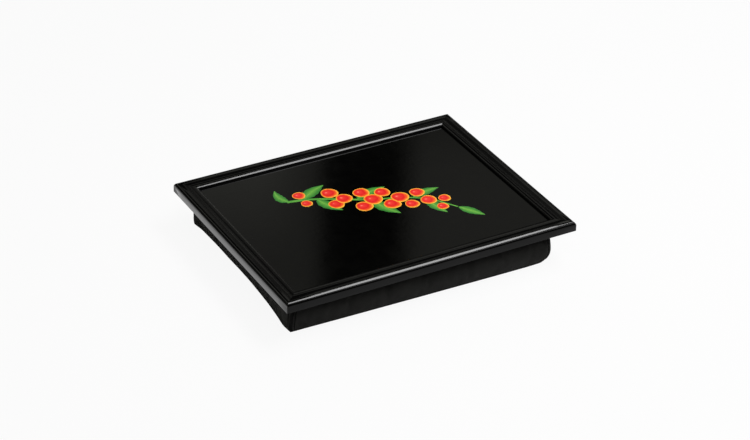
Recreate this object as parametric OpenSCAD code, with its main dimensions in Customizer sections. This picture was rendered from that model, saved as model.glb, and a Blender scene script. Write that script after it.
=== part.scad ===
// Lap tray: a mitred, lacquered frame round a printed board, which lies on a cushion full of beads.
// Lengths are in millimetres. The origin is the middle of the cushion's base, where it meets the lap or
// the table. X runs along the tray, the near side faces minus Y, and Z is up.

/* [Tray] */
// Length of the tray over its rails
tray_length = 430; // [360:1:560]
// Depth of the tray over its rails
tray_depth = 335; // [280:1:420]
// Thickness of the board
board_thickness = 3; // [2.5:0.1:4.5]
// Thickness of the printed sheet that faces the board
sheet_thickness = 0.7; // [0.4:0.1:1.2]
// Play between the board's edge and the rebate's wall
board_play = 0.5; // [0.2:0.1:1]

/* [Rail moulding] */
// Width of a rail, seen from above
rail_width = 25; // [24:0.5:32]
// Height of a rail from its underside to its crest
rail_height = 14.3; // [13:0.1:20]
// How far the crest stands above the tray's face
rim_rise = 5.7; // [5.2:0.1:6.5]
// Width of the lip that covers the board's edge
lip_width = 6; // [4:0.5:8]
// Radius of the outer top edge
outer_round = 6; // [4:0.1:6.5]
// Width of the crest, which leans inward a little
crest_width = 3; // [2:0.1:4]
// Drop from the crest's outer edge to its inner one
crest_drop = 0.3; // [0.1:0.05:0.5]
// Drop from the crest's outer edge to the foot of the inward slope
slope_drop = 1.6; // [1.2:0.05:2]
// Width of the low rise from that foot to the bead
rise_width = 1.6; // [1:0.1:2]
// Drop from the crest's outer edge to the bead's flat top
bead_drop = 1.1; // [0.8:0.05:1.2]
// Width of the bead's flat top
bead_flat = 4; // [3:0.1:4.5]
// Radius of the bead's inner edge, which ends the lip
bead_radius = 3.2; // [2:0.1:3.5]

/* [Fasteners] */
// Length of a leg of a corner nail
nail_leg = 6; // [4:0.5:8]
// Height of a corner nail
nail_height = 7; // [5:0.5:10]
// Thickness of a corner nail's steel
nail_thickness = 0.6; // [0.4:0.1:1]
// Length of a flat point
point_length = 14; // [10:0.5:18]
// Width of a flat point
point_width = 6; // [4:0.5:9]
// Thickness of a flat point
point_thickness = 0.5; // [0.3:0.1:0.8]

/* [Hook and loop tape] */
// Width of the tape
tape_width = 20; // [12:1:25]
// Thickness of either half of the tape
tape_thickness = 1.2; // [0.8:0.1:1.8]
// Gap left between the two halves where they meet
tape_gap = 0.2; // [0.1:0.05:0.3]
// Length of the strips along the long sides
long_tape = 220; // [120:5:250]
// Length of the strips along the short sides
short_tape = 130; // [80:5:150]
// Distance from the cushion's shoulder to the strips
tape_margin = 3; // [1:0.5:8]

/* [Cushion] */
// Height of the cushion from its base to the flat of its top
cushion_height = 48; // [36:1:70]
// How far the cushion's corners lie inside the rails' outer faces
corner_inset = 19; // [16:0.5:24]
// How far its top seam lies inside the rails' outer faces
top_inset = 24; // [20:0.5:30]
// How far the crown rises above the top seam
crown_rise = 5; // [2:0.5:10]
// Width of the crown's rounded shoulder
shoulder_width = 22; // [14:1:30]
// How far the long walls pull in between the corners
long_draw_in = 2; // [0:0.5:6]
// How far the short walls pull in between the corners
short_draw_in = 6; // [0:0.5:10]
// How far the walls belly out at half height
wall_belly = 4; // [0:0.5:6]
// How much further in the right corners lie at the base than the left ones
right_tuck = 17; // [0:0.5:22]
// Thickness of the fabric
fabric_thickness = 1.2; // [0.8:0.1:2]
// Clearance between the fabric and the body of beads
fill_clearance = 0.4; // [0.3:0.1:0.8]

/* [Hidden] */
$fn = 48;
// How far a cutting shape runs past what it cuts
cut = 1;

// Heights, from the base up
seam_z = cushion_height - crown_rise;
loop_z = cushion_height;
hook_z = loop_z + tape_thickness + tape_gap;
board_z = hook_z + tape_thickness;
sheet_z = board_z + board_thickness;
face_z = sheet_z + sheet_thickness;
crest_z = face_z + rim_rise;
rail_z = crest_z - rail_height;

// The board, which fills the rebate but for its play
solid_width = rail_width - lip_width;
board_length = tray_length - 2 * (solid_width + board_play);
board_depth = tray_depth - 2 * (solid_width + board_play);
face_height = face_z - rail_z;

// Fasteners: the nails' legs spread by this angle to each side of the mitre
nail_spread = 35;
long_point_shares = [-0.36, 0, 0.36];
short_point_shares = [-0.3, 0.3];
point_tip_share = 0.25;

// Tape strips, from the middle of the tray to a strip's middle line
tape_inset = top_inset + shoulder_width + tape_margin + tape_width / 2;
tape_x = tray_length / 2 - tape_inset;
tape_y = tray_depth / 2 - tape_inset;

// The cushion's surface is a net of lines. These shares place the lines across a shoulder, from the
// seam to the flat, and up a wall, from the base seam to the top seam.
shoulder_shares = [0, 0.35, 0.7, 1];
level_shares = [0, 0.15, 0.35, 0.6, 0.82, 1];
// The part of a wall's belly that its corner seams take too
corner_belly_share = 0.5;
// Power of the curve by which the right corners come out again, from the base up
tuck_fall = 1.5;
long_middle_cells = 5;
short_middle_cells = 4;
shoulder_cells = len(shoulder_shares) - 1;
levels = len(level_shares) - 1;
columns = long_middle_cells + 2 * shoulder_cells;
rows = short_middle_cells + 2 * shoulder_cells;
column_shares = line_shares(tray_length - 2 * top_inset, long_middle_cells);
row_shares = line_shares(tray_depth - 2 * top_inset, short_middle_cells);
column_rises = line_rises(long_middle_cells);
row_rises = line_rises(short_middle_cells);

lacquer_colour = [0.05, 0.05, 0.05];
steel_colour = [0.6, 0.62, 0.64];
board_colour = [0.42, 0.29, 0.18];
sheet_colour = [0.09, 0.09, 0.09];
tape_colour = [0.12, 0.12, 0.12];
fabric_colour = [0.15, 0.15, 0.14];
bead_colour = [0.95, 0.95, 0.93];

// Number helpers
function between(a, b, share) = a + (b - a) * share;
function backwards(list) = [for (i = [len(list) - 1:-1:0]) list[i]];

// A straight length of moulding along x, with its outer face on y = 0 and its underside on z = 0
module moulding(length) {
    bead_top = rail_height - bead_drop;
    bead_y = rail_width - bead_radius;
    bead_z = bead_top - bead_radius;
    bead_start = bead_y - bead_flat;
    difference() {
        union() {
            rotate([90, 0, 90])
                linear_extrude(length)
                    polygon([
                        [0, 0],
                        [0, rail_height - outer_round],
                        [outer_round, rail_height],
                        [outer_round + crest_width, rail_height - crest_drop],
                        [bead_start - rise_width, rail_height - slope_drop],
                        [bead_start, bead_top],
                        [bead_y, bead_top],
                        [rail_width, bead_z],
                        [rail_width, 0]
                    ]);
            lengthwise_rod(outer_round, rail_height - outer_round, outer_round, length);
            lengthwise_rod(bead_y, bead_z, bead_radius, length);
        }
        translate([-cut, solid_width, -cut])
            cube([length + 2 * cut, lip_width + cut, face_height + cut]);
    }
}

module lengthwise_rod(y, z, radius, length) {
    translate([0, y, z]) rotate([0, 90, 0]) cylinder(h = length, r = radius);
}

// A rail with mitred ends, its outer face on y = 0 and its middle at x = 0
module mitred_rail(length) {
    intersection() {
        translate([-length / 2, 0, rail_z]) moulding(length);
        translate([0, 0, rail_z - cut])
            linear_extrude(rail_height + 2 * cut)
                polygon([
                    [-length / 2, 0],
                    [length / 2, 0],
                    [length / 2 - rail_width, rail_width],
                    [-length / 2 + rail_width, rail_width]
                ]);
    }
}

// The rails with the seats of the nails and points cut out of them
module seated_rail(turn, length, depth) {
    color(lacquer_colour)
        difference() {
            rotate(turn) translate([0, -depth / 2, 0]) mitred_rail(length);
            all_nails();
            all_points();
        }
}

module front_rail() {
    seated_rail(0, tray_length, tray_depth);
}

module back_rail() {
    seated_rail(180, tray_length, tray_depth);
}

module left_rail() {
    seated_rail(-90, tray_depth, tray_length);
}

module right_rail() {
    seated_rail(90, tray_depth, tray_length);
}

// A nail bent to a V, its fold on the mitre and a leg in each rail, driven in from below
module corner_nail() {
    linear_extrude(nail_height)
        for (side = [-1, 1])
            rotate(side * nail_spread)
                translate([0, -nail_thickness / 2]) square([nail_leg, nail_thickness]);
}

module all_nails() {
    for (side_x = [-1, 1], side_y = [-1, 1])
        translate([
            side_x * (tray_length / 2 - solid_width / 2),
            side_y * (tray_depth / 2 - solid_width / 2),
            rail_z
        ])
            rotate(atan2(side_y, side_x)) corner_nail();
}

module corner_nails() {
    color(steel_colour) all_nails();
}

// A flat steel point: its tip is in the rail, and its other half lies against the board's underside
module flat_point() {
    linear_extrude(point_thickness)
        polygon([
            [0, -point_length / 2],
            [point_width / 2, -point_length * point_tip_share],
            [point_width / 2, point_length / 2],
            [-point_width / 2, point_length / 2],
            [-point_width / 2, -point_length * point_tip_share]
        ]);
}

module points_along(length, depth, shares) {
    for (turn = [0, 180], share = shares)
        rotate(turn)
            translate([share * length, solid_width - depth / 2, board_z - point_thickness])
                flat_point();
}

module all_points() {
    points_along(tray_length, tray_depth, long_point_shares);
    rotate(90) points_along(tray_depth, tray_length, short_point_shares);
}

module board_points() {
    color(steel_colour) all_points();
}

module centred_plate(length, depth, thickness, z) {
    translate([-length / 2, -depth / 2, z]) cube([length, depth, thickness]);
}

module tray_board() {
    color(board_colour) centred_plate(board_length, board_depth, board_thickness, board_z);
}

module printed_sheet() {
    color(sheet_colour) centred_plate(board_length, board_depth, sheet_thickness, sheet_z);
}

// A strip of tape with its middle at x, y and its underside at z
module tape_strip(x, y, length, depth, z) {
    color(tape_colour)
        translate([x, y, 0]) centred_plate(length, depth, tape_thickness, z);
}

module hook_strip_front() {
    tape_strip(0, -tape_y, long_tape, tape_width, hook_z);
}

module hook_strip_back() {
    tape_strip(0, tape_y, long_tape, tape_width, hook_z);
}

module hook_strip_left() {
    tape_strip(-tape_x, 0, tape_width, short_tape, hook_z);
}

module hook_strip_right() {
    tape_strip(tape_x, 0, tape_width, short_tape, hook_z);
}

module loop_strip_front() {
    tape_strip(0, -tape_y, long_tape, tape_width, loop_z);
}

module loop_strip_back() {
    tape_strip(0, tape_y, long_tape, tape_width, loop_z);
}

module loop_strip_left() {
    tape_strip(-tape_x, 0, tape_width, short_tape, loop_z);
}

module loop_strip_right() {
    tape_strip(tape_x, 0, tape_width, short_tape, loop_z);
}

// Where the net's lines cross a top of this length, and how far up the shoulder each of them lies
function line_shares(length, middle_cells) =
    let (
        near = shoulder_shares * shoulder_width / length,
        flat_start = near[shoulder_cells]
    )
    concat(
        near,
        [for (i = [1:middle_cells - 1]) between(flat_start, 1 - flat_start, i / middle_cells)],
        [for (share = backwards(near)) 1 - share]
    );
function line_rises(middle_cells) =
    concat(
        [for (share = shoulder_shares) sin(90 * share)],
        [for (i = [1:middle_cells - 1]) 1],
        [for (share = backwards(shoulder_shares)) sin(90 * share)]
    );

// How far a corner seam lies inside the rails' outer faces, at a share of the wall's height
function seam_inset(level) =
    between(corner_inset, top_inset, level * level)
    - corner_belly_share * wall_belly * sin(180 * level);
function left_x(level) = seam_inset(level) - tray_length / 2;
function right_x(level) =
    tray_length / 2 - seam_inset(level) - right_tuck * pow(1 - level, tuck_fall);
function near_y(level) = seam_inset(level) - tray_depth / 2;

// How far the middle of a wall lies inside the line between its corners
function wall_sag(level, draw_in) =
    draw_in * (1 - level) - (1 - corner_belly_share) * wall_belly * sin(180 * level);
function bow(share) = 4 * share * (1 - share);

// A point of the wall at crossing [column, row] of the net's border, this deep under the surface
function wall_point(crossing, level, deep, low_z) =
    let (
        across = column_shares[crossing.x],
        along = row_shares[crossing.y],
        inward_x = crossing.x == 0 ? 1 : crossing.x == columns ? -1 : 0,
        inward_y = crossing.y == 0 ? 1 : crossing.y == rows ? -1 : 0,
        sag_x = inward_x * bow(along) * wall_sag(level, short_draw_in),
        sag_y = inward_y * bow(across) * wall_sag(level, long_draw_in)
    )
    [
        between(left_x(level) + deep, right_x(level) - deep, across) + sag_x,
        between(near_y(level) + deep, -near_y(level) - deep, along) + sag_y,
        between(low_z, seam_z - deep, level)
    ];

// The crowned top at every crossing of the net, this deep under the surface
function top_points(deep) = [
    for (column = [0:columns], row = [0:rows]) [
        between(left_x(1) + deep, right_x(1) - deep, column_shares[column]),
        between(near_y(1) + deep, -near_y(1) - deep, row_shares[row]),
        seam_z - deep + crown_rise * column_rises[column] * row_rises[row]
    ]
];

// The crossings along each wall, walked anticlockwise from the near left corner
front_crossings = [for (column = [0:columns]) [column, 0]];
right_crossings = [for (row = [0:rows]) [columns, row]];
back_crossings = [for (column = [columns:-1:0]) [column, rows]];
left_crossings = [for (row = [rows:-1:0]) [0, row]];
function without_last(list) = [for (i = [0:len(list) - 2]) list[i]];
border_crossings = concat(
    without_last(front_crossings),
    without_last(right_crossings),
    without_last(back_crossings),
    without_last(left_crossings)
);

// Faces of a grid of points that are numbered up each column in turn
function grid_faces(cells_along, cells_up) = [
    for (i = [0:cells_along - 1], j = [0:cells_up - 1])
        let (a = i * (cells_up + 1) + j, b = a + cells_up + 1)
            each [[a, b + 1, b], [a, a + 1, b + 1]]
];
function grid_border(cells_along, cells_up) =
    let (step = cells_up + 1)
    concat(
        [for (i = [0:cells_along - 1]) i * step],
        [for (j = [0:cells_up - 1]) cells_along * step + j],
        [for (i = [cells_along:-1:1]) i * step + cells_up],
        [for (j = [cells_up:-1:1]) j]
    );
function moved_faces(faces, first) = [for (face = faces) [for (i = face) i + first]];
function turned_faces(faces) = [for (face = faces) backwards(face)];
function band_faces(low, high) = [
    for (i = [0:len(low) - 1])
        let (next = (i + 1) % len(low))
            each [[low[i], high[next], low[next]], [low[i], high[i], high[next]]]
];

// A thin curved panel between two grids of points, the second one on its inside
module panel(outer, inner, cells_along, cells_up) {
    faces = grid_faces(cells_along, cells_up);
    border = grid_border(cells_along, cells_up);
    polyhedron(
        points = concat(outer, inner),
        faces = concat(
            faces,
            moved_faces(turned_faces(faces), len(outer)),
            band_faces([for (i = border) i + len(outer)], border)
        )
    );
}

module wall(crossings) {
    color(fabric_colour)
        panel(
            [for (c = crossings, level = level_shares) wall_point(c, level, 0, 0)],
            [for (c = crossings, level = level_shares) wall_point(c, level, fabric_thickness, 0)],
            len(crossings) - 1,
            levels
        );
}

module cushion_front_wall() {
    wall(front_crossings);
}

module cushion_back_wall() {
    wall(back_crossings);
}

module cushion_left_wall() {
    wall(left_crossings);
}

module cushion_right_wall() {
    wall(right_crossings);
}

module cushion_top() {
    color(fabric_colour)
        panel(top_points(0), top_points(fabric_thickness), columns, rows);
}

// The flat base lies between the walls' lower edges
module cushion_base() {
    color(fabric_colour)
        linear_extrude(fabric_thickness)
            polygon([
                for (c = border_crossings)
                    let (p = wall_point(c, 0, fabric_thickness, 0)) [p.x, p.y]
            ]);
}

// The beads as one body: a crowned top, rings of wall points down to the base, and a flat underside
module bead_fill() {
    deep = fabric_thickness + fill_clearance;
    top = top_points(deep);
    around = len(border_crossings);
    rings = [
        for (k = [0:levels - 1], c = border_crossings)
            wall_point(c, level_shares[k], deep, fabric_thickness)
    ];
    function ring(k) = k == levels
        ? grid_border(columns, rows)
        : [for (i = [0:around - 1]) len(top) + k * around + i];
    color(bead_colour)
        polyhedron(
            points = concat(top, rings),
            faces = concat(
                grid_faces(columns, rows),
                [for (k = [0:levels - 1]) each band_faces(ring(k), ring(k + 1))],
                [ring(0)]
            )
        );
}

front_rail();
back_rail();
left_rail();
right_rail();
corner_nails();
tray_board();
printed_sheet();
board_points();
hook_strip_front();
hook_strip_back();
hook_strip_left();
hook_strip_right();
loop_strip_front();
loop_strip_back();
loop_strip_left();
loop_strip_right();
cushion_top();
cushion_front_wall();
cushion_back_wall();
cushion_left_wall();
cushion_right_wall();
cushion_base();
bead_fill();
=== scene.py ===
"""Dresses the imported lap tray: lacquered rails, a printed face, tape and a simulated cushion.

The tray lies in a plain studio. Values whose names hold _MM are in millimetres, as in the part's
source, and mm() turns them into the frame's metres. Everything else is in metres, in the row frame.
"""
import math

import bmesh
import bpy
import numpy as np
from mathutils import Matrix, Vector, noise


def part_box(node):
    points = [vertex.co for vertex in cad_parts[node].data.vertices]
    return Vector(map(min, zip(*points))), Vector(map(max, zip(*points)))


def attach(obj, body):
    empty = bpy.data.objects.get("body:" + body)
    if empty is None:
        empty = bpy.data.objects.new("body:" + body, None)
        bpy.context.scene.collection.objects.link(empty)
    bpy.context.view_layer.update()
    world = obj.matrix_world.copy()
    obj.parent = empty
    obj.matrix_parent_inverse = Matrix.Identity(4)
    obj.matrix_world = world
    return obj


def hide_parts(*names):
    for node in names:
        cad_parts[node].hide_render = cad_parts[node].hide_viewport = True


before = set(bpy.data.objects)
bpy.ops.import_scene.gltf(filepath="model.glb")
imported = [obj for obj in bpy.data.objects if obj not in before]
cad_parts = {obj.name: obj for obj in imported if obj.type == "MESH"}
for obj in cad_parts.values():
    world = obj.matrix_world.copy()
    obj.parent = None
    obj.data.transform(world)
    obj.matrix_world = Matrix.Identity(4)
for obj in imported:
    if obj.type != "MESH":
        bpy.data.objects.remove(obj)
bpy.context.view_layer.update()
scene = bpy.context.scene


def mm(*values):
    """Millimetres as metres: one number, or a tuple of them."""
    metres = tuple(value * 0.001 for value in values)
    return metres[0] if len(metres) == 1 else metres


# Sizes that the part's source has too: the tray, its rails, its face and the cushion's top
TRAY_LENGTH_MM, TRAY_DEPTH_MM = 430, 335
RAIL_WIDTH_MM, RAIL_HEIGHT_MM = 25, 14.3
RAIL_UNDERSIDE_MM, FACE_MM = 45.7, 54.3
REBATE_MM = 19
SEAM_MM, CROWN_MM, SHOULDER_MM = 43, 5, 22


# Meshes

def make_piece(name, points, faces, smooth=True):
    """A mesh object from points in metres, its faces turned outwards."""
    mesh = bpy.data.meshes.new(name)
    mesh.from_pydata([tuple(p) for p in points], [], [tuple(f) for f in faces])
    editable = bmesh.new()
    editable.from_mesh(mesh)
    bmesh.ops.recalc_face_normals(editable, faces=editable.faces)
    editable.to_mesh(mesh)
    editable.free()
    mesh.polygons.foreach_set("use_smooth", [smooth] * len(mesh.polygons))
    piece = bpy.data.objects.new(name, mesh)
    scene.collection.objects.link(piece)
    return piece


def sharpen(piece, degrees):
    """Marks the edges that turn by more than this as sharp."""
    editable = bmesh.new()
    editable.from_mesh(piece.data)
    limit = math.radians(degrees)
    for edge in editable.edges:
        edge.smooth = len(edge.link_faces) == 2 and edge.calc_face_angle() < limit
    editable.to_mesh(piece.data)
    editable.free()


def grid_faces(columns, rows, first=0):
    """Quads of a grid whose points run along the rows first."""
    return [
        (first + i * rows + j, first + (i + 1) * rows + j,
         first + (i + 1) * rows + j + 1, first + i * rows + j + 1)
        for i in range(columns - 1) for j in range(rows - 1)
    ]


def tube(path, radius, sides=8, closed=False):
    """Points and faces of a round cord along a path, capped where it ends."""
    path = [Vector(p) for p in path]
    count = len(path)
    points, faces = [], []
    for i, centre in enumerate(path):
        ahead = path[(i + 1) % count] if closed or i + 1 < count else path[i]
        behind = path[i - 1] if closed or i else path[i]
        along = (ahead - behind).normalized()
        across = along.cross(Vector((0, 0, 1)))
        if across.length < 1e-4:
            across = along.cross(Vector((0, 1, 0)))
        across.normalize()
        rise = across.cross(along).normalized()
        for k in range(sides):
            turn = 2 * math.pi * k / sides
            points.append(centre + across * radius * math.cos(turn) + rise * radius * math.sin(turn))
    for i in range(count if closed else count - 1):
        a, b = i * sides, (i + 1) % count * sides
        faces += [(a + k, a + (k + 1) % sides, b + (k + 1) % sides, b + k) for k in range(sides)]
    if not closed:
        faces += [tuple(range(sides))[::-1], tuple((count - 1) * sides + k for k in range(sides))]
    return points, faces


def joined(parts):
    """Several (points, faces) pairs as one."""
    points, faces = [], []
    for some_points, some_faces in parts:
        first = len(points)
        points += list(some_points)
        faces += [tuple(first + i for i in face) for face in some_faces]
    return points, faces


def spline_point(a, b, c, d, t):
    """A point between b and c on the smooth line through four points."""
    return 0.5 * (
        2 * b + (c - a) * t + (2 * a - 5 * b + 4 * c - d) * t * t + (3 * b - a - 3 * c + d) * t ** 3)


def resampled(path, step, closed=False):
    """Points at equal steps along a path."""
    path = np.array([tuple(p) for p in path])
    if closed:
        path = np.vstack([path, path[:1]])
    lengths = np.concatenate([[0], np.cumsum(np.linalg.norm(np.diff(path, axis=0), axis=1))])
    count = max(2, round(lengths[-1] / step))
    places = np.linspace(0, lengths[-1], count + 1)
    even = np.column_stack([np.interp(places, lengths, path[:, axis]) for axis in range(3)])
    return even[:-1] if closed else even


# Materials

# Numbers of the sockets that share their name with another one: Map Range's and a colour Mix's
FROM_LOW, FROM_HIGH, TO_LOW, TO_HIGH = 1, 2, 3, 4
MIX_SHARE, MIX_FIRST, MIX_SECOND, MIX_RESULT = 0, 6, 7, 2


class Shader:
    """A node tree with short calls to add nodes and join them."""

    def __init__(self, owner):
        owner.use_nodes = True
        self.tree = owner.node_tree
        self.tree.nodes.clear()

    def add(self, kind, inputs=None, **settings):
        """A node with its settings; each input is a plain value or another node's socket."""
        node = self.tree.nodes.new("ShaderNode" + kind)
        for name, value in settings.items():
            setattr(node, name, value)
        for key, value in (inputs or {}).items():
            if isinstance(value, bpy.types.NodeSocket):
                self.tree.links.new(value, node.inputs[key])
            else:
                node.inputs[key].default_value = value
        return node

    def math(self, operation, *values):
        return self.add("Math", dict(enumerate(values)), operation=operation).outputs[0]

    def place(self):
        """The point on the piece, in the frame's metres, at rest."""
        return self.add("TexCoord").outputs["Object"]

    def noise(self, size, detail=2.0, stretch=(1, 1, 1), roughness=0.5):
        """Noise whose features are about this many metres across, from 0 to 1."""
        spread = self.add("VectorMath", {0: self.place(), 1: stretch}, operation="MULTIPLY")
        return self.add("TexNoise", {
            "Vector": spread.outputs[0], "Scale": 1 / size, "Detail": detail, "Roughness": roughness,
        }).outputs[0]

    def ramp(self, value, *stops):
        """A colour ramp with (place, colour) stops."""
        node = self.add("ValToRGB", {0: value})
        elements = node.color_ramp.elements
        while len(elements) < len(stops):
            elements.new(0.5)
        for element, (place, colour) in zip(elements, stops):
            element.position = place
            element.color = (*colour, 1)
        return node.outputs[0]

    def span(self, value, low, high, start=0.0, end=1.0):
        """A value from start to end turned into one from low to high."""
        return self.add("MapRange", {
            0: value, FROM_LOW: start, FROM_HIGH: end, TO_LOW: low, TO_HIGH: high}).outputs[0]

    def rising(self, value, start, end):
        """0 before start and 1 after end, with a soft step between them."""
        return self.add("MapRange", {0: value, FROM_LOW: start, FROM_HIGH: end},
                        interpolation_type="SMOOTHSTEP").outputs[0]

    def mix(self, share, first, second):
        """Two colours mixed."""
        return self.add("Mix", {MIX_SHARE: share, MIX_FIRST: rgba(first), MIX_SECOND: rgba(second)},
                        data_type="RGBA").outputs[MIX_RESULT]

    def bump(self, height, distance, strength=1.0, normal=None):
        inputs = {"Height": height, "Distance": distance, "Strength": strength}
        if normal:
            inputs["Normal"] = normal
        return self.add("Bump", inputs).outputs[0]

    def surface(self, **sockets):
        """The shader itself, fed by plain values or by nodes."""
        shader = self.add("BsdfPrincipled", sockets)
        self.add("OutputMaterial", {"Surface": shader.outputs[0]})


def grey(level):
    return (level, level, level)


def rgba(colour):
    return (*colour, 1)


def new_material(name):
    material = bpy.data.materials.new(name)
    return material, Shader(material)


def lacquer_material():
    """Sprayed black gloss on wood: a little orange peel, and the grain just showing through."""
    material, s = new_material("black_gloss_lacquer")
    peel = s.bump(s.noise(mm(3.5), detail=1.5), mm(0.06), 0.5)
    s.surface(**{
        "Base Color": s.ramp(s.noise(mm(30)), (0.3, (0.0010, 0.0010, 0.0011)),
                             (0.7, (0.0022, 0.0021, 0.0021))),
        "Roughness": s.span(s.noise(mm(20), detail=3), 0.10, 0.15),
        "IOR": 1.42, "Normal": s.bump(s.noise(mm(4), detail=3), mm(0.03), 0.4, peel),
    })
    return material


def print_material(name, colour_of):
    """Ink under the printed sheet's gloss; colour_of(shader) gives its colour."""
    material, s = new_material(name)
    s.surface(**{
        "Base Color": colour_of(s),
        "Roughness": s.span(s.noise(mm(25), detail=3), 0.04, 0.08),
        "IOR": 1.46, "Normal": s.bump(s.noise(mm(6), detail=3), mm(0.05), 0.2),
    })
    return material


def sheet_colour(s):
    """Black, a little uneven."""
    return s.ramp(s.noise(mm(12), detail=4), (0.3, grey(0.0004)), (0.75, (0.0010, 0.0010, 0.0009)))


def leaf_colour(s):
    """Green, paler along the midrib and darker at the edge."""
    across = s.add("Attribute", attribute_name="across").outputs["Fac"]
    spots = s.math("MULTIPLY", s.noise(mm(6)), 0.35)
    return s.ramp(s.math("ADD", across, spots),
                  (0.05, (0.27, 0.52, 0.09)), (0.22, (0.12, 0.36, 0.05)), (0.95, (0.035, 0.19, 0.03)))


def stem_colour(s):
    """Green in two shades."""
    return s.ramp(s.noise(mm(8)), (0.3, (0.14, 0.42, 0.06)), (0.7, (0.06, 0.27, 0.035)))


def berry_colour(s):
    """Red, with an orange and yellow rim and a paler glint."""
    across = s.add("Attribute", attribute_name="across").outputs["Fac"]
    spots = s.math("MULTIPLY", s.math("SUBTRACT", s.noise(mm(5)), 0.5), 0.25)
    return s.ramp(s.math("ADD", across, spots),
                  (0.0, (0.95, 0.24, 0.17)), (0.16, (0.80, 0.045, 0.035)), (0.6, (0.66, 0.016, 0.018)),
                  (0.82, (0.85, 0.11, 0.02)), (0.97, (0.93, 0.48, 0.05)))


def weave_height(s, pitch_mm):
    """A plain weave's height, from -1 to 1, laid over each side of the piece from that side."""
    coordinates = s.add("TexCoord")
    place = s.add("SeparateXYZ", {0: coordinates.outputs["Object"]}).outputs
    facing = s.add("SeparateXYZ", {0: coordinates.outputs["Normal"]}).outputs
    radians_per_metre = 2 * math.pi / mm(pitch_mm)
    waves = [s.math("SINE", s.math("MULTIPLY", place[axis], radians_per_metre)) for axis in range(3)]
    height = None
    for axis, (first, second) in enumerate(((1, 2), (0, 2), (0, 1))):
        share = s.math("POWER", s.math("ABSOLUTE", facing[axis]), 3.0)
        layer = s.math("MULTIPLY", share, s.math("MULTIPLY", waves[first], waves[second]))
        height = s.math("ADD", height, layer) if height else layer
    return height


# The double seams: how far they lie from each corner of the walls, how wide they are, how deep they
# pull the cloth, and how much painted shade darkens the cloth in them
SEAM_LINES_MM, SEAM_GROOVE_MM, SEAM_GROOVE_DEPTH_MM, SEAM_PAINTED_SHADE = (0.9, 4.6), 2.4, 1.8, 2.0


def seam_groove(s):
    """1 in the grooves of the double seams beside the walls' corners, 0 elsewhere: where the cloth is
    sunk and painted with shade.
    """
    distance = s.add("Attribute", attribute_name="corner_distance").outputs["Fac"]
    grooves = []
    for place in SEAM_LINES_MM:
        away = s.math("ABSOLUTE", s.math("SUBTRACT", distance, mm(place)))
        grooves.append(s.span(away, 0.0, 1.0, start=mm(SEAM_GROOVE_MM) / 2, end=0.0))
    return s.math("MAXIMUM", *grooves)


def fabric_material(name, dark, pale, pitch_mm, depth_mm, sheen=0.25, seam_lines=False):
    """Woven cloth: yarns in relief, uneven dye, a matte face and a soft sheen; with seam lines, painted
    shade in the seams' grooves.
    """
    material, s = new_material(name)
    weave = weave_height(s, pitch_mm)
    cloudy = s.noise(mm(18), detail=4)
    yarns = s.math("MULTIPLY", s.math("ADD", weave, 1.0), 0.22)
    tone = s.math("ADD", s.math("MULTIPLY", cloudy, 0.7), yarns)
    fuzz = s.bump(s.noise(mm(1.2), detail=2), mm(depth_mm) / 2, 0.5)
    if seam_lines:
        groove = seam_groove(s)
        # Painted shade: the cloth's colour is darkened in the seams' grooves, on top of the bump that
        # sinks them
        tone = s.math("SUBTRACT", tone, s.math("MULTIPLY", groove, SEAM_PAINTED_SHADE))
        fuzz = s.bump(s.math("MULTIPLY", groove, -1.0), mm(SEAM_GROOVE_DEPTH_MM), 1.0, fuzz)
    s.surface(**{
        "Base Color": s.ramp(tone, (0.0, grey(0.004)), (0.2, dark), (0.85, pale)),
        "Roughness": s.span(s.noise(mm(10)), 0.82, 0.95),
        "Sheen Weight": sheen, "Sheen Roughness": 0.45, "Sheen Tint": rgba(grey(0.6)),
        "IOR": 1.22, "Normal": s.bump(weave, mm(depth_mm), 0.7, fuzz),
    })
    return material


def hardboard_material():
    """Pressed brown fibres, with the screen's mesh on the underside."""
    material, s = new_material("hardboard")
    fibres = s.noise(mm(4), detail=6, roughness=0.7)
    s.surface(**{
        "Base Color": s.ramp(fibres, (0.3, (0.13, 0.07, 0.035)), (0.5, (0.24, 0.145, 0.08)),
                             (0.72, (0.34, 0.22, 0.13))),
        "Roughness": s.span(s.noise(mm(10)), 0.7, 0.9),
        "Normal": s.bump(weave_height(s, 1.8), mm(0.2), 0.6, s.bump(fibres, mm(0.2), 0.5)),
    })
    return material


def steel_material():
    """Bright pressed steel with fine drawing lines."""
    material, s = new_material("bright_steel")
    lines = s.noise(mm(0.8), detail=3, stretch=(1, 1, 12))
    s.surface(**{
        "Base Color": s.ramp(s.noise(mm(4)), (0.3, (0.50, 0.51, 0.53)), (0.7, (0.64, 0.65, 0.66))),
        "Metallic": 1.0, "Roughness": s.span(lines, 0.22, 0.42), "Normal": s.bump(lines, mm(0.03), 0.4),
    })
    return material


BEADS_PER_METRE = 260.0


def bead_material():
    """Small white foam beads, packed, each painted darker towards its edge as shade where the beads
    meet.
    """
    material, s = new_material("foam_beads")
    cells = s.add("TexVoronoi", {"Vector": s.place(), "Scale": BEADS_PER_METRE}).outputs["Distance"]
    s.surface(**{
        # Painted shade: paler in each bead's middle, darker towards the gaps between beads
        "Base Color": s.ramp(cells, (0.1, (0.88, 0.88, 0.86)), (0.8, (0.62, 0.62, 0.60))),
        "Roughness": s.span(s.noise(mm(4)), 0.6, 0.8),
        "Normal": s.bump(s.math("MULTIPLY", cells, -1.0), mm(1), 0.8),
    })
    return material


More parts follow.
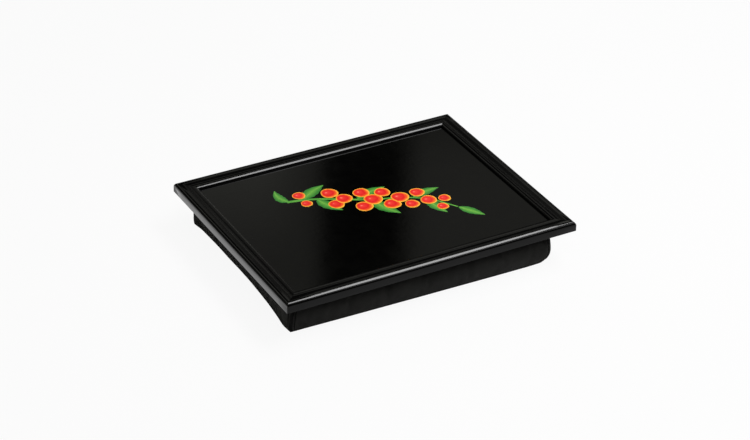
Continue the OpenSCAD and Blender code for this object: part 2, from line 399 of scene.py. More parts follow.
LACQUER = lacquer_material()
SHEET = print_material("printed_face_black", sheet_colour)
LEAF_INK = print_material("print_leaf_green", leaf_colour)
STEM_INK = print_material("print_stem_green", stem_colour)
BERRY_INK = print_material("print_berry_red", berry_colour)
CLOTH = fabric_material(
    "black_cotton", (0.027, 0.027, 0.0255), (0.055, 0.0545, 0.052), pitch_mm=1.3, depth_mm=0.22,
    seam_lines=True)
THREAD = fabric_material(
    "black_thread", grey(0.007), (0.018, 0.018, 0.0175), pitch_mm=0.6, depth_mm=0.10, sheen=0.08)
LOOP_TAPE = fabric_material(
    "loop_tape", grey(0.014), (0.036, 0.036, 0.035), pitch_mm=0.9, depth_mm=0.25, sheen=0.5)
HOOK_TAPE = fabric_material(
    "hook_tape", grey(0.012), grey(0.028), pitch_mm=1.1, depth_mm=0.18, sheen=0.1)
HARDBOARD = hardboard_material()
STEEL = steel_material()
BEADS = bead_material()


def dress(piece, material, body, slot, *replaced):
    """Gives a piece its material and its body, and hides the CAD nodes that it stands for; the slot is
    not used.
    """
    piece.data.materials.clear()
    piece.data.materials.append(material)
    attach(piece, body)
    if replaced:
        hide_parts(*replaced)
    return piece


def finish_node(name, material):
    """A CAD node keeps its mesh and gets a better material."""
    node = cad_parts[name]
    if not node.material_slots:
        node.data.materials.append(material)
    for material_slot in node.material_slots:
        material_slot.material = material


for name in ("corner_nails", "board_points"):
    finish_node(name, STEEL)
finish_node("tray_board", HARDBOARD)
finish_node("printed_sheet", SHEET)


# Rails

# The moulding's section as (distance from the outer face, height), in millimetres: a round outer edge,
# a crest that leans inward, a shallow valley, and a bead that ends in a round inner edge
OUTER_ROUND_MM, LOWER_ROUND_MM = 6, 0.7
CREST_TO_BEAD_MM = [
    (8, 14.25), (10, 14.08), (12, 13.76), (14, 13.38), (15.6, 13.17),
    (17.8, 13.4), (19.6, 13.52), (20.8, 13.47),
]
BEAD_LEAN_DEGREES = 5
BEAD_ARCS = [(44, 5.6), (90, 2.5)]  # lean at the arc's end in degrees, radius
# How many steps draw the lower round, the outer round, each stretch of the crest and each bead arc
LOWER_STEPS, OUTER_STEPS, CREST_STEPS, BEAD_STEPS = 5, 20, 6, 12
# Each rail's end is eased back by this much at the mitre, over this length
MITRE_EASE_MM, MITRE_EASE_LENGTH_MM = 0.12, 0.25
# Where the rings between a rail's two ends lie, as shares of its length
RING_SHARES = np.linspace(0.08, 0.92, 8)
# Edges that turn by more than this many degrees stay sharp
SHARP_DEGREES = 25


def arc(centre, radius, start, end, steps):
    """Points of an arc, its angles in degrees from the first axis."""
    return [
        (centre[0] + radius * math.cos(math.radians(start + (end - start) * i / steps)),
         centre[1] + radius * math.sin(math.radians(start + (end - start) * i / steps)))
        for i in range(steps + 1)
    ]


def smooth_line(points, steps):
    """A smooth line through points, with this many steps between two of them."""
    line = [Vector(p) for p in points]
    line = [2 * line[0] - line[1]] + line + [2 * line[-1] - line[-2]]
    smooth = []
    for four in zip(line, line[1:], line[2:], line[3:]):
        smooth += [tuple(spline_point(*four, step / steps)) for step in range(steps)]
    return smooth + [tuple(line[-2])]


def moulding_section():
    """The section's points, clockwise from the lower outer arris."""
    lip_underside = FACE_MM - RAIL_UNDERSIDE_MM
    section = arc((LOWER_ROUND_MM, LOWER_ROUND_MM), LOWER_ROUND_MM, 270, 180, LOWER_STEPS)
    outer_centre = (OUTER_ROUND_MM, RAIL_HEIGHT_MM - OUTER_ROUND_MM)
    section += arc(outer_centre, OUTER_ROUND_MM, 180, 90, OUTER_STEPS)
    section += smooth_line([section[-1], *CREST_TO_BEAD_MM], CREST_STEPS)[1:]
    lean = BEAD_LEAN_DEGREES
    for end, radius in BEAD_ARCS:
        x, z = section[-1]
        centre = (x - radius * math.sin(math.radians(lean)), z - radius * math.cos(math.radians(lean)))
        section += arc(centre, radius, 90 - lean, 90 - end, BEAD_STEPS)[1:]
        lean = end
    section += [(section[-1][0], lip_underside), (REBATE_MM, lip_underside), (REBATE_MM, 0)]
    return section


def rail(name, node, turn, length_mm, depth_mm):
    """A mitred rail, lying along x at the tray's near side and then turned to its place."""
    section = moulding_section()
    middle_y, middle_z = RAIL_WIDTH_MM / 2, RAIL_HEIGHT_MM / 2
    # For each ring: its share of the way from mitre to mitre, and its shift and ease in millimetres
    stations = (
        [(0, 0, MITRE_EASE_MM), (0, MITRE_EASE_LENGTH_MM, 0)]
        + [(share, 0, 0) for share in RING_SHARES]
        + [(1, -MITRE_EASE_LENGTH_MM, 0), (1, 0, MITRE_EASE_MM)]
    )
    rings = []
    for share, shift, ease in stations:
        ring = []
        for y, z in section:
            reach = length_mm / 2 - y
            pull = Vector((middle_y - y, middle_z - z)).normalized() * ease
            ring.append((reach * (2 * share - 1) + shift, y + pull.x, z + pull.y))
        rings.append(ring)
    count = len(section)
    points = [mm(x, y - depth_mm / 2, z + RAIL_UNDERSIDE_MM) for ring in rings for x, y, z in ring]
    faces = [
        (i * count + k, (i + 1) * count + k,
         (i + 1) * count + (k + 1) % count, i * count + (k + 1) % count)
        for i in range(len(rings) - 1) for k in range(count)
    ]
    faces += [tuple(range(count)), tuple((len(rings) - 1) * count + k for k in range(count))]
    turned = Matrix.Rotation(math.radians(turn), 3, "Z")
    piece = make_piece(name, [turned @ Vector(p) for p in points], faces)
    sharpen(piece, SHARP_DEGREES)
    return dress(piece, LACQUER, "tray", "rail_lacquer", node)


rail("rail_front", "front_rail", 0, TRAY_LENGTH_MM, TRAY_DEPTH_MM)
rail("rail_back", "back_rail", 180, TRAY_LENGTH_MM, TRAY_DEPTH_MM)
rail("rail_left", "left_rail", -90, TRAY_DEPTH_MM, TRAY_LENGTH_MM)
rail("rail_right", "right_rail", 90, TRAY_DEPTH_MM, TRAY_LENGTH_MM)


# Print

# A generic sprig: its stem's line, its leaves and its berries, in millimetres on the tray's face
STEM_LINE_MM = [(-98, 60), (-66, 52), (-30, 34), (6, 14), (42, 2), (76, -20), (100, -54)]
STEM_WIDTHS_MM = (2.2, 5.0)
# The ink's underside above the face, each layer's step up, and the ink's thickness
INK_FOOT_MM, INK_STEP_MM, INK_THICKNESS_MM = 0.01, 0.02, 0.02
LEAVES = [  # share along the stem, turn from it in degrees, length, width
    (0.02, 150, 34, 15), (0.12, 58, 46, 19), (0.20, -55, 44, 18), (0.42, 60, 50, 19),
    (0.50, -60, 50, 20), (0.74, 54, 44, 17), (0.82, -52, 42, 17), (1.0, -4, 40, 15),
]
BERRIES = [  # share along the stem, distance from it, radius
    (0.10, 12, 9), (0.13, -10, 8), (0.27, 15, 12), (0.31, -13, 11), (0.35, 2, 11.5), (0.44, 18, 11.5),
    (0.46, -17, 12), (0.51, 1, 13), (0.58, 17, 11), (0.61, -15, 12), (0.67, 1, 12.5), (0.74, -16, 10),
    (0.76, 14, 10.5), (0.83, -2, 11), (0.90, 11, 8.5), (0.93, -9, 8),
]
# A leaf's least half width, how far its turn eases towards the tip, and how its edge ripples
LEAF_TIP_MM, LEAF_BEND_SHARE, LEAF_RIPPLE_SHARE, LEAF_RIPPLES = 0.12, 0.25, 0.05, 4.5
# How far off the middle a berry's glint lies, and how far its rim swells in three places
GLINT_SHARE, SWELL_SHARE = 0.3, 0.03
# Rows of points along the stem and along a leaf, and a berry's sides and rings
STEM_ROWS, LEAF_ROWS, BERRY_SIDES, BERRY_RINGS = 61, 19, 28, 6


def stem_point(share):
    """A point of the stem's smooth line and the line's direction there."""
    line = [Vector(p) for p in STEM_LINE_MM]
    line = [2 * line[0] - line[1]] + line + [2 * line[-1] - line[-2]]
    place = min(share, 0.99999) * (len(line) - 3)
    i, t = int(place), place - int(place)
    a, b, c, d = line[i:i + 4]
    slope = 0.5 * ((c - a) + 2 * (2 * a - 5 * b + 4 * c - d) * t + 3 * (3 * b - a - 3 * c + d) * t * t)
    return spline_point(a, b, c, d, t), slope.normalized()


def ink(name, flats, material, layer):
    """Thin closed patches of ink; each flat is (points with their share across, faces, rim)."""
    low = FACE_MM + INK_FOOT_MM
    high = FACE_MM + INK_STEP_MM * layer + INK_THICKNESS_MM
    points, faces, shares = [], [], []
    for flat_points, flat_faces, rim in flats:
        first, count = len(points), len(flat_points)
        points += [mm(x, y, high) for x, y, share in flat_points]
        points += [mm(x, y, low) for x, y, share in flat_points]
        shares += [share for x, y, share in flat_points] * 2
        faces += [tuple(first + i for i in face) for face in flat_faces]
        faces += [tuple(first + count + i for i in reversed(face)) for face in flat_faces]
        faces += [
            (first + a, first + b, first + count + b, first + count + a)
            for a, b in zip(rim, rim[1:] + rim[:1])
        ]
    piece = make_piece(name, points, faces, smooth=False)
    across = piece.data.attributes.new("across", "FLOAT", "POINT")
    across.data.foreach_set("value", shares)
    return dress(piece, material, "tray", "printed_face")


def strip_flat(rows):
    """A patch from rows of points across it."""
    width = len(rows[0])
    rim = list(range(width)) + [i * width + width - 1 for i in range(1, len(rows))]
    last = (len(rows) - 1) * width
    rim += [last + j for j in range(width - 2, -1, -1)]
    rim += [i * width for i in range(len(rows) - 2, 0, -1)]
    return [p for row in rows for p in row], grid_faces(len(rows), width), rim


def stem_flat():
    """The stem, wide at its foot and slim at its tip."""
    tip_width, foot_width = STEM_WIDTHS_MM
    rows = []
    for share in np.linspace(0, 1, STEM_ROWS):
        point, along = stem_point(share)
        across = Vector((-along.y, along.x))
        half = (foot_width + (tip_width - foot_width) * share) / 2
        rows.append([(*(point + across * half * side), abs(side)) for side in (-1, 0, 1)])
    return strip_flat(rows)


def leaf_flat(share, turn, length, width):
    """A pointed leaf that bends a little along its length."""
    foot, along = stem_point(share)
    rows = []
    for t in np.linspace(0, 1, LEAF_ROWS):
        bend = math.radians(turn * (1 - LEAF_BEND_SHARE * t))
        heading = Vector((
            along.x * math.cos(bend) - along.y * math.sin(bend),
            along.x * math.sin(bend) + along.y * math.cos(bend)))
        centre = foot + heading * (1 + length * t)
        outline = max(LEAF_TIP_MM, width / 2 * math.sin(math.pi * t ** 0.8) ** 0.9)
        half = outline * (1 + LEAF_RIPPLE_SHARE * math.sin(LEAF_RIPPLES * 2 * math.pi * t))
        across = Vector((-heading.y, heading.x))
        rows.append([(*(centre + across * half * side), abs(side)) for side in (-1, -0.5, 0, 0.5, 1)])
    return strip_flat(rows)


def berry_flat(share, distance, radius):
    """A round berry, its glint off the middle."""
    point, along = stem_point(share)
    centre = point + Vector((-along.y, along.x)) * distance
    sides, rings = BERRY_SIDES, BERRY_RINGS
    points = [(centre.x - GLINT_SHARE * radius, centre.y + GLINT_SHARE * radius, 0.0)]
    for ring in range(1, rings + 1):
        reach = ring / rings
        for k in range(sides):
            turn = 2 * math.pi * k / sides
            swell = 1 + SWELL_SHARE * math.sin(3 * turn + distance)
            shift = GLINT_SHARE * (1 - reach)
            points.append((
                centre.x + radius * (reach * swell * math.cos(turn) - shift),
                centre.y + radius * (reach * swell * math.sin(turn) + shift), reach))
    faces = [(0, 1 + k, 1 + (k + 1) % sides) for k in range(sides)]
    for ring in range(rings - 1):
        a, b = 1 + ring * sides, 1 + (ring + 1) * sides
        faces += [(a + k, b + k, b + (k + 1) % sides, a + (k + 1) % sides) for k in range(sides)]
    rim = [1 + (rings - 1) * sides + k for k in range(sides)]
    return points, faces, rim


ink("print_stem", [stem_flat()], STEM_INK, 1)
for i, leaf in enumerate(LEAVES):
    ink(f"print_leaf_{i + 1}", [leaf_flat(*leaf)], LEAF_INK, 2 + i % 2)
for i, berry in enumerate(BERRIES):
    ink(f"print_berry_{i + 1}", [berry_flat(*berry)], BERRY_INK, 4 + i)


# Hook and loop tape

# The bare woven edge beside the pile, the pile's grid, and the woven base's share of the thickness
PILE_MARGIN_MM = 1.6
PILE_STEP_MM = 0.8
TAPE_BASE_SHARE = 0.5
# Heights above the base, as shares of the rest: the edge's weave, the loops and how much they vary,
# a hook, and the ground between hooks
EDGE_RISE, LOOP_RISE, LOOP_SPREAD, HOOK_RISE, GROUND_RISE = 0.12, 0.72, 0.28, 0.95, 0.12
# Waves of the noise in a metre: of the edge's weave and of the loops
EDGE_WAVES, LOOP_WAVES = 900, 1100


def tape(node, material, slot, body, up):
    """A strip of tape in its CAD node's box: a woven base, and a pile that faces up or down."""
    low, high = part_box(node)
    step, margin = mm(PILE_STEP_MM), mm(PILE_MARGIN_MM)
    columns, rows = (round((high[axis] - low[axis]) / step) + 1 for axis in (0, 1))
    back, front = (low.z, high.z) if up else (high.z, low.z)
    base = back + (front - back) * TAPE_BASE_SHARE
    points = []
    for i in range(columns):
        for j in range(rows):
            x = low.x + (high.x - low.x) * i / (columns - 1)
            y = low.y + (high.y - low.y) * j / (rows - 1)
            edge = min(x - low.x, high.x - x, y - low.y, high.y - y)
            if edge < margin:
                share = EDGE_RISE * noise.noise(Vector((x, y, 0)) * EDGE_WAVES)
            elif up:
                share = LOOP_RISE + LOOP_SPREAD * noise.noise(Vector((x, y, 3)) * LOOP_WAVES)
            else:
                share = HOOK_RISE if (i + j) % 2 else GROUND_RISE
            points.append((x, y, base + (front - base) * max(0.0, min(1.0, share))))
    count = len(points)
    points += [(x, y, back) for x, y, z in points]
    faces = grid_faces(columns, rows) + [face[::-1] for face in grid_faces(columns, rows, count)]
    rim = (
        [i * rows for i in range(columns - 1)]
        + [(columns - 1) * rows + j for j in range(rows - 1)]
        + [i * rows + rows - 1 for i in range(columns - 1, 0, -1)]
        + [j for j in range(rows - 1, 0, -1)]
    )
    faces += [(a, count + a, count + b, b) for a, b in zip(rim, rim[1:] + rim[:1])]
    return dress(make_piece(node + "_tape", points, faces), material, body, slot, node)


STITCH_MM, STITCH_GAP_MM, THREAD_RADIUS_MM = 2.3, 0.9, 0.2
# A stitch's arch, as (share of its length, lift in thread radii)
STITCH_ARCH = [(0, -1), (0.2, 0.6), (0.5, 1), (0.8, 0.6), (1, -1)]


def stitches(name, path, body, slot):
    """Short thread stitches round a closed path."""
    parts = []
    line = [Vector(p) for p in resampled(path, mm(STITCH_MM + STITCH_GAP_MM), closed=True)]
    lift = Vector((0, 0, mm(THREAD_RADIUS_MM)))
    for a, b in zip(line, line[1:] + line[:1]):
        reach = mm(STITCH_MM) / (b - a).length
        arch = [a.lerp(b, reach * share) + lift * rise for share, rise in STITCH_ARCH]
        parts.append(tube(arch, mm(THREAD_RADIUS_MM), sides=6))
    return dress(make_piece(name, *joined(parts)), THREAD, body, slot)


for side in ("front", "back", "left", "right"):
    tape("hook_strip_" + side, HOOK_TAPE, "hook_tape", "tray", up=False)
    tape("loop_strip_" + side, LOOP_TAPE, "loop_tape", "cushion", up=True)
    low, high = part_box("loop_strip_" + side)
    inset = mm(PILE_MARGIN_MM) / 2
    z = low.z + (high.z - low.z) * TAPE_BASE_SHARE
    stitches("loop_stitches_" + side, [
        (low.x + inset, low.y + inset, z), (high.x - inset, low.y + inset, z),
        (high.x - inset, high.y - inset, z), (low.x + inset, high.y - inset, z),
    ], "cushion", "cushion_fabric")


# Cushion

# How far the cushion lies inside the rails' outer faces at its base, as (share along, inset), in
# millimetres. The front and back run from left to right, the sides from front to back.
FRONT_INSETS = [(0, 22), (0.06, 21.6), (0.2, 20), (0.5, 17.4), (0.8, 15), (0.94, 14.2), (1, 14.8)]
BACK_INSETS = [(0, 20), (0.1, 21.5), (0.5, 23), (0.9, 21.5), (1, 20)]
LEFT_INSETS = [
    (0, 16.2), (0.06, 14.9), (0.14, 18), (0.24, 20.8), (0.34, 22.5), (0.44, 23.8), (0.55, 24.2),
    (0.66, 23.8), (0.76, 24.2), (0.86, 23.6), (0.94, 22.9), (1, 20),
]
RIGHT_INSETS = [(0, 29), (0.12, 31), (0.5, 31), (0.88, 28), (1, 25)]
# And at its top seam: on the right, and elsewhere
RIGHT_TOP_INSET_MM, TOP_INSET_MM = 28, 24
# The right side turns under: how far in at the base, and how high the turn reaches
TUCK_MM, TUCK_HEIGHT_MM = 13.5, 17
# How far the walls bow out halfway up, and what share of that is left at their corners
BELLY_MM, CORNER_BELLY_SHARE = 2.2, 0.4
# The cover's cells along the tray's length, its depth and its height
CELLS = (80, 60, 9)
# The air: its pressure, for how many frames it works, and how far it may push the walls and the top
AIR_PRESSURE, AIR_FRAMES = 4.0, 20
WALL_CAP_MM, TOP_CAP_MM = 3.0, 2.5
# The top's points that lie no lower than this below the crown are held under the board
HELD_DEPTH_MM = 0.01
# How sharp the seams stay when the cover is subdivided
BASE_CREASE, TOP_CREASE, CORNER_CREASE = 0.9, 0.6, 0.75
# How far the body of beads lies inside the cover
COVER_DEPTH_MM = 1.6
# The seam cords: round the base and the top, up the corners, and the step between their rings
SEAM_RADIUS_MM, CORNER_SEAM_RADIUS_MM, SEAM_STEP_MM = 0.75, 0.35, 3


def along_table(table, share):
    """The table's value at a share of the side."""
    places, values = zip(*table)
    return float(np.interp(share, places, values))


def cushion_point(i, j, k):
    """A point of the cushion's surface before it is filled, in millimetres."""
    u, v, level = i / CELLS[0], j / CELLS[1], k / CELLS[2]
    z = SEAM_MM * level
    belly = BELLY_MM * math.sin(math.pi * level)

    def inset(table, share, middle, top=TOP_INSET_MM):
        base = along_table(table, share)
        bow = belly * (CORNER_BELLY_SHARE + (1 - CORNER_BELLY_SHARE) * middle)
        return base + (top - base) * level ** 2 - bow

    bow_v, bow_u = 4 * v * (1 - v), 4 * u * (1 - u)
    tuck = 0.0
    if z < TUCK_HEIGHT_MM:
        tuck = TUCK_MM * (1 - math.sqrt(max(0.0, 1 - (1 - z / TUCK_HEIGHT_MM) ** 2)))
    left = -TRAY_LENGTH_MM / 2 + inset(LEFT_INSETS, v, bow_v)
    right = TRAY_LENGTH_MM / 2 - inset(RIGHT_INSETS, v, bow_v, RIGHT_TOP_INSET_MM) - tuck
    front = -TRAY_DEPTH_MM / 2 + inset(FRONT_INSETS, u, bow_u)
    back = TRAY_DEPTH_MM / 2 - inset(BACK_INSETS, u, bow_u)
    x, y = left + (right - left) * u, front + (back - front) * v
    if k == CELLS[2]:
        reach = min(1.0, min(u, 1 - u) * (right - left) / SHOULDER_MM)
        rise = min(1.0, min(v, 1 - v) * (back - front) / SHOULDER_MM)
        z += CROWN_MM * math.sin(math.pi / 2 * reach) * math.sin(math.pi / 2 * rise)
    return x, y, z


def cushion_cage():
    """The cushion's box of cells: its points, its quads and the index of each (i, j, k)."""
    nx, ny, nz = CELLS
    index, points = {}, []
    for i in range(nx + 1):
        for j in range(ny + 1):
            for k in range(nz + 1):
                if i in (0, nx) or j in (0, ny) or k in (0, nz):
                    index[i, j, k] = len(points)
                    points.append(cushion_point(i, j, k))
    faces = []
    for k in (0, nz):
        faces += [(index[i, j, k], index[i + 1, j, k], index[i + 1, j + 1, k], index[i, j + 1, k])
                  for i in range(nx) for j in range(ny)]
    for j in (0, ny):
        faces += [(index[i, j, k], index[i + 1, j, k], index[i + 1, j, k + 1], index[i, j, k + 1])
                  for i in range(nx) for k in range(nz)]
    for i in (0, nx):
        faces += [(index[i, j, k], index[i, j + 1, k], index[i, j + 1, k + 1], index[i, j, k + 1])
                  for j in range(ny) for k in range(nz)]
    return points, faces, index


def fill_with_air(piece, held):
    """Blows the cloth up round its held points and gives back where its points end."""
    group = piece.vertex_groups.new(name="held")
    group.add(held, 1.0, "REPLACE")
    modifier = piece.modifiers.new("cloth", "CLOTH")
    settings = modifier.settings
    settings.quality = 6
    settings.mass = 0.25
    settings.tension_stiffness = settings.compression_stiffness = 12
    settings.shear_stiffness = 4
    settings.bending_stiffness = 0.15
    settings.shrink_min = -0.025
    settings.use_pressure = True
    settings.uniform_pressure_force = AIR_PRESSURE
    settings.effector_weights.gravity = 0
    settings.vertex_group_mass = "held"
    modifier.collision_settings.use_collision = False
    modifier.point_cache.frame_start, modifier.point_cache.frame_end = 1, AIR_FRAMES
    for number in range(1, AIR_FRAMES + 1):
        scene.frame_set(number)
    evaluated = piece.evaluated_get(bpy.context.evaluated_depsgraph_get())
    moved = np.array([v.co for v in evaluated.data.vertices])
    piece.modifiers.remove(modifier)
    scene.frame_set(1)
    return moved


def set_points(piece, points):
    """Puts a piece's points at new places."""
    piece.data.vertices.foreach_set("co", np.asarray(points, float).ravel())
    piece.data.update()


def cushion_seams(index):
    """The seams as lists of point numbers: base, top and the four corners."""
    nx, ny, nz = CELLS

    def ring(k):
        return (
            [index[i, 0, k] for i in range(nx)] + [index[nx, j, k] for j in range(ny)]
            + [index[i, ny, k] for i in range(nx, 0, -1)] + [index[0, j, k] for j in range(ny, 0, -1)])

    corners = {
        "front_left": (0, 0), "front_right": (nx, 0), "back_right": (nx, ny), "back_left": (0, ny)}
    return ring(0), ring(nz), {
        name: [index[i, j, k] for k in range(nz + 1)] for name, (i, j) in corners.items()}


def swell(piece, rest, held, index):
    """Moves the cover's points to where the air takes them, but not past the caps."""
    shift = fill_with_air(piece, held) - rest
    reach = np.linalg.norm(shift, axis=1)
    cap = np.full(len(rest), mm(WALL_CAP_MM))
    for (i, j, k), n in index.items():
        if k == CELLS[2]:
            cap[n] = mm(TOP_CAP_MM)
    scale = np.where(reach > 1e-9, cap * np.tanh(reach / cap) / np.maximum(reach, 1e-9), 0)
    set_points(piece, rest + shift * scale[:, None])


def crease_seams(piece, base_ring, top_ring, corners):
    """Keeps the seams sharp when the cover is subdivided."""
    crease = piece.data.attributes.new("crease_edge", "FLOAT", "EDGE")
    numbers = {tuple(sorted(edge.vertices)): edge.index for edge in piece.data.edges}
    lines = [(base_ring + base_ring[:1], BASE_CREASE), (top_ring + top_ring[:1], TOP_CREASE)]
    lines += [(line, CORNER_CREASE) for line in corners.values()]
    for line, strength in lines:
        for a, b in zip(line, line[1:]):
            crease.data[numbers[tuple(sorted((a, b)))]].value = strength


def store_corner_distance(piece, index):
    """Stores how far each point of a wall lies from the nearest corner seam; 1 m on base and top."""
    nx, ny, nz = CELLS
    distance = piece.data.attributes.new("corner_distance", "FLOAT", "POINT")
    for (i, j, k), n in index.items():
        wall = 0 < k < nz or i in (0, nx) or j in (0, ny)
        along_x = min(i, nx - i) * mm(TRAY_LENGTH_MM - 2 * TOP_INSET_MM) / nx
        along_y = min(j, ny - j) * mm(TRAY_DEPTH_MM - 2 * TOP_INSET_MM) / ny
        distance.data[n].value = max(along_x, along_y) if wall else 1.0


def build_cushion():
    """The cover, and its seams as lines of points: base, top and corners."""
    points, faces, index = cushion_cage()
    rest = np.array([mm(*p) for p in points])
    piece = make_piece("cushion_cover", rest, faces)
    base_ring, top_ring, corners = cushion_seams(index)
    flat_z = mm(SEAM_MM + CROWN_MM - HELD_DEPTH_MM)
    held = sorted(
        {n for (i, j, k), n in index.items() if k == 0}
        | {n for (i, j, k), n in index.items() if k == CELLS[2] and rest[n][2] > flat_z}
        | set(top_ring) | {n for line in corners.values() for n in line})
    swell(piece, rest, held, index)
    crease_seams(piece, base_ring, top_ring, corners)
    store_corner_distance(piece, index)
    subdivision = piece.modifiers.new("subdivision", "SUBSURF")
    subdivision.levels = subdivision.render_levels = 1
    evaluated = piece.evaluated_get(bpy.context.evaluated_depsgraph_get())
    finished = bpy.data.meshes.new_from_object(evaluated)
    piece.modifiers.remove(subdivision)
    piece.data = finished
    piece.vertex_groups.clear()
    places = np.array([v.co for v in finished.vertices])
    return piece, [places[n] for n in base_ring], [places[n] for n in top_ring], {
        name: [places[n] for n in line] for name, line in corners.items()}


cushion, base_line, top_line, corner_lines = build_cushion()
dress(cushion, CLOTH, "cushion", "cushion_fabric", "cushion_top", "cushion_front_wall",
      "cushion_back_wall", "cushion_left_wall", "cushion_right_wall", "cushion_base")


def build_beads():
    """The body of beads: the cover's own form, drawn in by the cloth's thickness."""
    mesh = cushion.data.copy()
    piece = bpy.data.objects.new("bead_body", mesh)
    scene.collection.objects.link(piece)
    normals = np.array([v.normal for v in mesh.vertices])
    places = np.array([v.co for v in mesh.vertices])
    set_points(piece, places - normals * mm(COVER_DEPTH_MM))
    return dress(piece, BEADS, "cushion", "beads", "bead_fill")


build_beads()


def seam(name, path, radius_mm, closed=False):
    """A seam's round cord along a path."""
    line = resampled(path, mm(SEAM_STEP_MM), closed)
    points, faces = tube(line, mm(radius_mm), sides=8, closed=closed)
    return dress(make_piece(name, points, faces), THREAD, "cushion", "cushion_fabric")


base_cord = [Vector(p) + Vector((0, 0, mm(SEAM_RADIUS_MM))) for p in base_line]
seam("seam_base", base_cord, SEAM_RADIUS_MM, closed=True)
seam("seam_top", top_line, SEAM_RADIUS_MM, closed=True)
for name, line in corner_lines.items():
    foot = Vector(line[0]) + Vector((0, 0, 2 * mm(SEAM_RADIUS_MM)))
    seam("seam_" + name, [foot] + [p for p in line if p[2] > foot.z], CORNER_SEAM_RADIUS_MM)


# Stage

FLOOR_RADIUS = 7.0
# The floor's grey as the camera sees it, and as the light that it throws back has it
FLOOR_COLOUR, BOUNCE_COLOUR = 0.60, 0.12
# How much of the floor's own white each kind of ray sees; the rest is its lit surface, with shadows
CAMERA_WHITE, GLOSS_WHITE = 0.92, 0.33


def floor_material():
    """A matte floor with a white of its own, mixed by the kind of ray."""
    material, s = new_material("pale_floor")
    rays = s.add("LightPath").outputs
    seen = s.math("MAXIMUM", rays["Is Camera Ray"], rays["Is Transmission Ray"])
    white_share = s.math("MAXIMUM", s.math("MULTIPLY", seen, CAMERA_WHITE),
                         s.math("MULTIPLY", rays["Is Glossy Ray"], GLOSS_WHITE))
    colour = s.mix(rays["Is Camera Ray"], grey(BOUNCE_COLOUR), grey(FLOOR_COLOUR))
    lit = s.add("BsdfDiffuse", {"Color": colour})
    white = s.add("Emission", {"Color": rgba(grey(1.0)), "Strength": 1.0})
    mixed = s.add("MixShader", {0: white_share, 1: lit.outputs[0], 2: white.outputs[0]})
    s.add("OutputMaterial", {"Surface": mixed.outputs[0]})
    return material


def disc(name, radius, sides=96):
    """A flat disc on the floor plane."""
    points = [(0, 0, 0)] + [
        (radius * math.cos(2 * math.pi * k / sides), radius * math.sin(2 * math.pi * k / sides), 0)
        for k in range(sides)]
    faces = [(0, 1 + k, 1 + (k + 1) % sides) for k in range(sides)]
    return make_piece(name, points, faces, smooth=False)


floor = disc("floor", FLOOR_RADIUS)
floor.data.materials.append(floor_material())

# A white card that lies beside the tray's left rail and shows only in its gloss
CARD_CORNERS = ((-0.72, -0.30), (-0.226, 0.75))
CARD_HEIGHT = 0.0006
CARD_STRENGTH = 1.35


def card_material():
    """Even white."""
    material, s = new_material("white_card")
    white = s.add("Emission", {"Color": rgba(grey(1.0)), "Strength": CARD_STRENGTH})
    s.add("OutputMaterial", {"Surface": white.outputs[0]})
    return material


(card_left, card_front), (card_right, card_back) = CARD_CORNERS
card = make_piece("white_card", [
    (card_left, card_front, CARD_HEIGHT), (card_right, card_front, CARD_HEIGHT),
    (card_right, card_back, CARD_HEIGHT), (card_left, card_back, CARD_HEIGHT),
], [(0, 1, 2, 3)], smooth=False)
card.data.materials.append(card_material())
for ray in ("camera", "diffuse", "transmission", "shadow"):
    setattr(card, "visible_" + ray, False)


# Light

# Grey panels round the stage: first and last bearing in degrees from +Y towards +X, lowest and
# highest sine of the elevation, edge softness in degrees and in sine, and brightness
PANELS = [
    (6, 28.15, 0.46, 0.59, 0.5, 0.035, 0.13),
    (6, 27.2, 0.46, 0.52, 1.6, 0.05, 0.13),
    (30.65, 56, 0.485, 0.57, 0.9, 0.05, 0.155),
    (28, 35, 0.36, 0.455, 2, 0.03, 0.10),
    (26, 30.5, 0.40, 0.485, 1.5, 0.02, 0.13),
    (34.5, 40.5, 0.08, 0.365, 1.5, 0.03, 0.32),
    (18.5, 25, 0.635, 0.70, 1.5, 0.02, 0.12),
    (26, 46, 0.57, 0.68, 3, 0.04, 0.42),
    (-30, -14, 0.52, 0.66, 4, 0.06, 0.57),
    (95, 140, 0.10, 0.65, 12, 0.12, 0.16),
]
PANEL_TINT = (1.0, 1.0, 0.905)
# Panels for the sides that the photograph doesn't show, and a ceiling, which show only in gloss
GLOSS_PANELS = [
    (-200, -36, 0.10, 0.85, 10, 0.10, 0.12),
    (168, 200, 0.10, 0.85, 10, 0.10, 0.12),
    (60, 97, 0.08, 0.60, 10, 0.12, 0.12),
    (-14, 8, 0.06, 0.40, 8, 0.10, 0.11),
    (-200, 200, 0.965, 2, 1, 0.02, 0.28),
]
# A low, wide fill from behind, which shows in no gloss: how bright, its middle bearing, and how far
# round from there and up it fades
FILL_LEVEL, FILL_BEARING = 1.5, 40
FILL_TURNS, FILL_RISES = (60, 105), (0.35, 0.70)
WORLD_LEVEL = 0.004


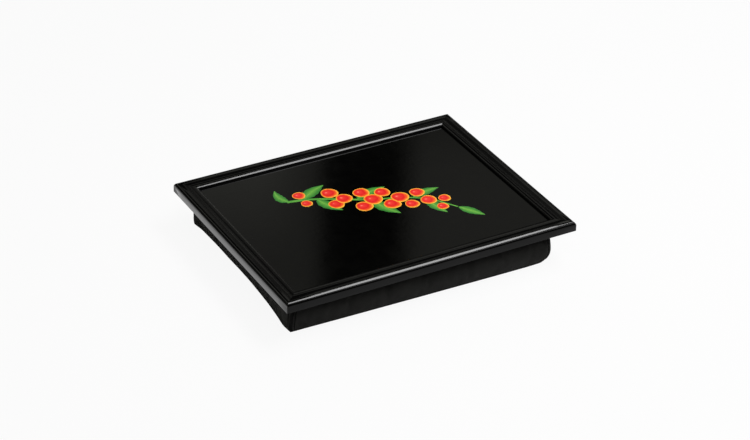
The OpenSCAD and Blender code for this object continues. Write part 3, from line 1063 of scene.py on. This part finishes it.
def world_light():
    """A dim surround with soft panels, and a fill for matte surfaces; the camera sees it white."""
    world = bpy.data.worlds.new("studio")
    scene.world = world
    s = Shader(world)
    direction = s.add("SeparateXYZ", {0: s.add("TexCoord").outputs["Generated"]}).outputs
    bearing = s.math("MULTIPLY", s.math("ARCTAN2", direction[0], direction[1]), 180 / math.pi)

    def lit_panels(panels):
        total = None
        for first, last, low, high, soft_turn, soft_rise, level in panels:
            turn, rise = soft_turn / 2, soft_rise / 2
            sides = s.math("MULTIPLY", s.rising(bearing, first - turn, first + turn),
                           s.rising(bearing, last + turn, last - turn))
            ends = s.math("MULTIPLY", s.rising(direction[2], low - rise, low + rise),
                          s.rising(direction[2], high + rise, high - rise))
            panel = s.math("MULTIPLY", s.math("MULTIPLY", sides, ends), level)
            total = s.math("ADD", total, panel) if total else panel
        return total

    rays = s.add("LightPath").outputs
    surround = s.math("ADD", lit_panels(PANELS), WORLD_LEVEL)
    gloss = s.math("MULTIPLY", lit_panels(GLOSS_PANELS), rays["Is Glossy Ray"])
    surround = s.math("ADD", surround, gloss)
    seen = s.math("MAXIMUM", rays["Is Camera Ray"], rays["Is Transmission Ray"])
    turn = s.math("ABSOLUTE", s.math("SUBTRACT", bearing, FILL_BEARING))
    fill = s.math("MULTIPLY", s.rising(turn, *FILL_TURNS[::-1]),
                  s.rising(direction[2], *FILL_RISES[::-1]))
    fill = s.math("MULTIPLY", s.math("MULTIPLY", fill, FILL_LEVEL), rays["Is Diffuse Ray"])
    level = s.math("MAXIMUM", s.math("MAXIMUM", surround, fill), seen)
    colour = s.mix(seen, PANEL_TINT, grey(1.0))
    back = s.add("Background", {"Color": colour, "Strength": level})
    s.add("OutputWorld", {"Surface": back.outputs[0]})


# Lamps: place, target, width, depth and brightness
SOFTBOXES = {
    "overhead_softbox": ((0.835, -0.20, 1.75), (0, 0, 0.05), 1.55, 0.66, 11.5),
    "front_softbox": ((0.95, -1.30, 1.40), (0, 0, 0.05), 0.8, 0.8, 0.8),
    "left_softbox": ((-0.3, -1.2, 1.8), (0, 0, 0.03), 1.2, 1.2, 3.2),
}


def softbox(name, place, target, width, depth, radiance):
    """A rectangular lamp of an even brightness that faces the target."""
    data = bpy.data.lights.new(name, "AREA")
    data.shape = "RECTANGLE"
    data.size, data.size_y = width, depth
    data.energy = radiance * math.pi * width * depth
    lamp = bpy.data.objects.new(name, data)
    aim = (Vector(target) - Vector(place)).to_track_quat("-Z", "Y").to_matrix().to_4x4()
    lamp.matrix_world = Matrix.Translation(place) @ aim
    lamp.visible_camera = False
    scene.collection.objects.link(lamp)


world_light()
for name, values in SOFTBOXES.items():
    softbox(name, *values)


# Camera

# Where the camera stands, its own three directions, and its sensor and lens
EYE = (-1.3527, -2.3784, 1.7143)
RIGHT, UP = (0.87428, -0.48504, 0.01917), (0.23988, 0.46605, 0.85162)
BACK = (-0.42200, -0.73996, 0.52381)
SENSOR_MM, LENS_MM = 36, 114.956

camera_data = bpy.data.cameras.new("camera")
camera_data.sensor_width = SENSOR_MM
camera_data.lens = LENS_MM
camera = bpy.data.objects.new("camera", camera_data)
camera.matrix_world = Matrix.Translation(EYE) @ Matrix((RIGHT, UP, BACK)).transposed().to_4x4()
scene.collection.objects.link(camera)
scene.camera = camera
scene.view_settings.view_transform = "Standard"
